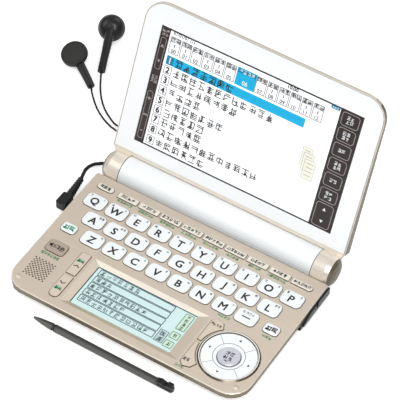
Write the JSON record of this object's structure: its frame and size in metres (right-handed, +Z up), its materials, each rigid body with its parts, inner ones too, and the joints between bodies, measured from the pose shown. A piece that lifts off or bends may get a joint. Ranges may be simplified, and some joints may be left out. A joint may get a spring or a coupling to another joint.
{
  "type": "electronic dictionary",
  "caption": "Clamshell electronic dictionary with a hinged large screen, full keyboard, lower touch screen, direction pad, loose stylus and plugged-in earphones.",
  "frame": {"origin": "middle of the flat underside of the base, on the surface it stands on", "axes": "+X to the right as the user sees it, +Y to the rear where the hinge is, +Z up"},
  "size_m": [0.2187, 0.2066, 0.1038],
  "materials": {
    "champagne": "satin champagne lacquer on plastic",
    "shell_gold": "satin gold lacquer on plastic",
    "key_white": "satin",
    "bezel_white": "gloss",
    "button_silver": "silver paint",
    "black_plastic": "satin",
    "stylus_grey": "satin",
    "cord_black": "soft matt",
    "shaft_steel": "ground",
    "battery_wrap": "film wrap",
    "board_green": "solder mask",
    "lcd_pale": "gloss",
    "screen_white": "gloss"
  },
  "bodies": {
    "base": {"bottom_case": "shell_gold", "keyboard_deck": "champagne", "battery_cover": "shell_gold", "battery": "battery_wrap", "main_board": "board_green", "speaker": "black_plastic", "sub_screen": "lcd_pale", "stylus_holder": "black_plastic", "hinge_barrel": "bezel_white", "stylus": "stylus_grey", "earphone_plug": "black_plastic", "earphone_lead": "cord_black", "earphone_coil": "cord_black", "earphone_leg_left": "cord_black", "earphone_leg_right": "cord_black", "earbud_left": "black_plastic", "earbud_right": "black_plastic"},
    "lid": {"lid_shell": "shell_gold", "lid_bezel": "bezel_white", "main_screen": "screen_white", "hinge_shaft": "shaft_steel"},
    "dpad_rocker": {"dpad_rocker": "black_plastic"},
    "dpad_ring": {"dpad_ring": "bezel_white"},
    "key_q": {"key_q": "key_white"},
    "key_w": {"key_w": "key_white"},
    "key_e": {"key_e": "key_white"},
    "key_r": {"key_r": "key_white"},
    "key_t": {"key_t": "key_white"},
    "key_y": {"key_y": "key_white"},
    "key_u": {"key_u": "key_white"},
    "key_i": {"key_i": "key_white"},
    "key_o": {"key_o": "key_white"},
    "key_p": {"key_p": "key_white"},
    "key_a": {"key_a": "key_white"},
    "key_s": {"key_s": "key_white"},
    "key_d": {"key_d": "key_white"},
    "key_f": {"key_f": "key_white"},
    "key_g": {"key_g": "key_white"},
    "key_h": {"key_h": "key_white"},
    "key_j": {"key_j": "key_white"},
    "key_k": {"key_k": "key_white"},
    "key_l": {"key_l": "key_white"},
    "key_z": {"key_z": "key_white"},
    "key_x": {"key_x": "key_white"},
    "key_c": {"key_c": "key_white"},
    "key_v": {"key_v": "key_white"},
    "key_b": {"key_b": "key_white"},
    "key_n": {"key_n": "key_white"},
    "key_m": {"key_m": "key_white"},
    "key_dash": {"key_dash": "key_white"},
    "function_key": {"function_key": "key_white"},
    "back_key": {"back_key": "key_white"},
    "voice_key": {"voice_key": "champagne"},
    "page_up_key": {"page_up_key": "champagne"},
    "page_down_key": {"page_down_key": "champagne"},
    "rear_arc_key": {"rear_arc_key": "champagne"},
    "front_arc_key": {"front_arc_key": "champagne"},
    "power_key": {"power_key": "champagne"},
    "shortcut_key_strip": {"shortcut_key_strip": "champagne"},
    "enter_button": {"enter_button": "button_silver"}
  },
  "joints": [
    {"name": "lid_hinge", "type": "hinge", "parent": "base", "child": "lid", "pos_m": [0, 0.05475, 0.0098], "axis": [-1, 0, 0], "range_deg": [-112.95, 37]},
    {"name": "dpad_tilt_front_rear", "type": "hinge", "parent": "base", "child": "dpad_rocker", "pos_m": [0.0537, -0.02375, 0.0087], "axis": [1, 0, 0], "range_deg": [-1, 1], "stiffness_Nm_per_rad": 0.6},
    {"name": "dpad_tilt_left_right", "type": "hinge", "parent": "dpad_rocker", "child": "dpad_ring", "pos_m": [0.0537, -0.02375, 0.0087], "axis": [0, 1, 0], "range_deg": [-1, 1], "stiffness_Nm_per_rad": 0.6},
    {"name": "key_q_press", "type": "slide", "parent": "base", "child": "key_q", "axis": [0, 0, -1], "range_m": [0, 0.0006], "stiffness_N_per_m": 500},
    {"name": "key_w_press", "type": "slide", "parent": "base", "child": "key_w", "axis": [0, 0, -1], "range_m": [0, 0.0006], "stiffness_N_per_m": 500},
    {"name": "key_e_press", "type": "slide", "parent": "base", "child": "key_e", "axis": [0, 0, -1], "range_m": [0, 0.0006], "stiffness_N_per_m": 500},
    {"name": "key_r_press", "type": "slide", "parent": "base", "child": "key_r", "axis": [0, 0, -1], "range_m": [0, 0.0006], "stiffness_N_per_m": 500},
    {"name": "key_t_press", "type": "slide", "parent": "base", "child": "key_t", "axis": [0, 0, -1], "range_m": [0, 0.0006], "stiffness_N_per_m": 500},
    {"name": "key_y_press", "type": "slide", "parent": "base", "child": "key_y", "axis": [0, 0, -1], "range_m": [0, 0.0006], "stiffness_N_per_m": 500},
    {"name": "key_u_press", "type": "slide", "parent": "base", "child": "key_u", "axis": [0, 0, -1], "range_m": [0, 0.0006], "stiffness_N_per_m": 500},
    {"name": "key_i_press", "type": "slide", "parent": "base", "child": "key_i", "axis": [0, 0, -1], "range_m": [0, 0.0006], "stiffness_N_per_m": 500},
    {"name": "key_o_press", "type": "slide", "parent": "base", "child": "key_o", "axis": [0, 0, -1], "range_m": [0, 0.0006], "stiffness_N_per_m": 500},
    {"name": "key_p_press", "type": "slide", "parent": "base", "child": "key_p", "axis": [0, 0, -1], "range_m": [0, 0.0006], "stiffness_N_per_m": 500},
    {"name": "key_a_press", "type": "slide", "parent": "base", "child": "key_a", "axis": [0, 0, -1], "range_m": [0, 0.0006], "stiffness_N_per_m": 500},
    {"name": "key_s_press", "type": "slide", "parent": "base", "child": "key_s", "axis": [0, 0, -1], "range_m": [0, 0.0006], "stiffness_N_per_m": 500},
    {"name": "key_d_press", "type": "slide", "parent": "base", "child": "key_d", "axis": [0, 0, -1], "range_m": [0, 0.0006], "stiffness_N_per_m": 500},
    {"name": "key_f_press", "type": "slide", "parent": "base", "child": "key_f", "axis": [0, 0, -1], "range_m": [0, 0.0006], "stiffness_N_per_m": 500},
    {"name": "key_g_press", "type": "slide", "parent": "base", "child": "key_g", "axis": [0, 0, -1], "range_m": [0, 0.0006], "stiffness_N_per_m": 500},
    {"name": "key_h_press", "type": "slide", "parent": "base", "child": "key_h", "axis": [0, 0, -1], "range_m": [0, 0.0006], "stiffness_N_per_m": 500},
    {"name": "key_j_press", "type": "slide", "parent": "base", "child": "key_j", "axis": [0, 0, -1], "range_m": [0, 0.0006], "stiffness_N_per_m": 500},
    {"name": "key_k_press", "type": "slide", "parent": "base", "child": "key_k", "axis": [0, 0, -1], "range_m": [0, 0.0006], "stiffness_N_per_m": 500},
    {"name": "key_l_press", "type": "slide", "parent": "base", "child": "key_l", "axis": [0, 0, -1], "range_m": [0, 0.0006], "stiffness_N_per_m": 500},
    {"name": "key_z_press", "type": "slide", "parent": "base", "child": "key_z", "axis": [0, 0, -1], "range_m": [0, 0.0006], "stiffness_N_per_m": 500},
    {"name": "key_x_press", "type": "slide", "parent": "base", "child": "key_x", "axis": [0, 0, -1], "range_m": [0, 0.0006], "stiffness_N_per_m": 500},
    {"name": "key_c_press", "type": "slide", "parent": "base", "child": "key_c", "axis": [0, 0, -1], "range_m": [0, 0.0006], "stiffness_N_per_m": 500},
    {"name": "key_v_press", "type": "slide", "parent": "base", "child": "key_v", "axis": [0, 0, -1], "range_m": [0, 0.0006], "stiffness_N_per_m": 500},
    {"name": "key_b_press", "type": "slide", "parent": "base", "child": "key_b", "axis": [0, 0, -1], "range_m": [0, 0.0006], "stiffness_N_per_m": 500},
    {"name": "key_n_press", "type": "slide", "parent": "base", "child": "key_n", "axis": [0, 0, -1], "range_m": [0, 0.0006], "stiffness_N_per_m": 500},
    {"name": "key_m_press", "type": "slide", "parent": "base", "child": "key_m", "axis": [0, 0, -1], "range_m": [0, 0.0006], "stiffness_N_per_m": 500},
    {"name": "key_dash_press", "type": "slide", "parent": "base", "child": "key_dash", "axis": [0, 0, -1], "range_m": [0, 0.0006], "stiffness_N_per_m": 500},
    {"name": "function_key_press", "type": "slide", "parent": "base", "child": "function_key", "axis": [0, 0, -1], "range_m": [0, 0.0006], "stiffness_N_per_m": 500},
    {"name": "back_key_press", "type": "slide", "parent": "base", "child": "back_key", "axis": [0, 0, -1], "range_m": [0, 0.0006], "stiffness_N_per_m": 500},
    {"name": "voice_key_press", "type": "slide", "parent": "base", "child": "voice_key", "axis": [0, 0, -1], "range_m": [0, 0.0006], "stiffness_N_per_m": 500},
    {"name": "page_up_key_press", "type": "slide", "parent": "base", "child": "page_up_key", "axis": [0, 0, -1], "range_m": [0, 0.0006], "stiffness_N_per_m": 500},
    {"name": "page_down_key_press", "type": "slide", "parent": "base", "child": "page_down_key", "axis": [0, 0, -1], "range_m": [0, 0.0006], "stiffness_N_per_m": 500},
    {"name": "rear_arc_key_press", "type": "slide", "parent": "base", "child": "rear_arc_key", "axis": [0, 0, -1], "range_m": [0, 0.0006], "stiffness_N_per_m": 500},
    {"name": "front_arc_key_press", "type": "slide", "parent": "base", "child": "front_arc_key", "axis": [0, 0, -1], "range_m": [0, 0.0006], "stiffness_N_per_m": 500},
    {"name": "power_key_press", "type": "slide", "parent": "base", "child": "power_key", "axis": [0, 0, -1], "range_m": [0, 0.0005], "stiffness_N_per_m": 700},
    {"name": "shortcut_key_strip_press", "type": "slide", "parent": "base", "child": "shortcut_key_strip", "axis": [0, 0, -1], "range_m": [0, 0.0005], "stiffness_N_per_m": 900},
    {"name": "enter_button_press", "type": "slide", "parent": "base", "child": "enter_button", "axis": [0, 0, -1], "range_m": [0, 0.0005], "stiffness_N_per_m": 700}
  ]
}
